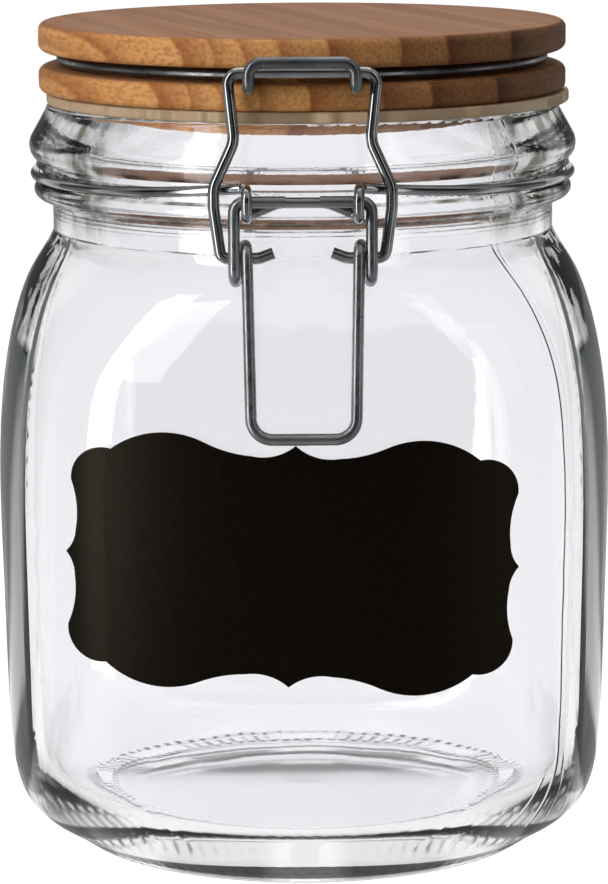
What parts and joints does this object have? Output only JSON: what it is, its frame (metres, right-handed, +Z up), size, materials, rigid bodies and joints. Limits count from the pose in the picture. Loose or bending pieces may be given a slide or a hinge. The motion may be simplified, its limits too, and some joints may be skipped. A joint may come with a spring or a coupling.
{
  "type": "clip-top glass storage jar",
  "caption": "Empty clear glass storage jar with a rounded-square body, wooden lid on a soft seal, wire clip latch and a plain black chalk label.",
  "frame": {"origin": "middle of the bearing ring the jar stands on, on the jar's axis", "axes": "+Z up the jar's axis, -Y towards the latch and the label, +X to the right seen from the latch"},
  "size_m": [0.11, 0.1117, 0.1472],
  "materials": {
    "glass": "clear moulded soda-lime glass, polished",
    "label": "matt black chalkboard film",
    "wood": "softwood, oiled, growth rings on the edge",
    "seal": "translucent silicone",
    "steel": "bright drawn steel wire"
  },
  "bodies": {
    "jar": {"glass_jar": "glass", "chalk_label": "label", "wood_lid": "wood", "seal_ring": "seal", "lid_wire": "steel", "neck_wire": "steel"},
    "lever": {"lever_wire": "steel"},
    "yoke": {"yoke_wire": "steel"}
  },
  "joints": [
    {"name": "lever_swing", "type": "hinge", "parent": "jar", "child": "lever", "pos_m": [0, -0.05105, 0.12035], "axis": [-1, 0, 0], "range_deg": [0, 90]},
    {"name": "yoke_swing", "type": "hinge", "parent": "lever", "child": "yoke", "pos_m": [0, -0.05005, 0.1108], "axis": [-1, 0, 0], "range_deg": [-70.2, 0]}
  ],
  "couplings": [
    {"joint": "yoke_swing", "follows": "lever_swing", "ratio": -0.78}
  ]
}
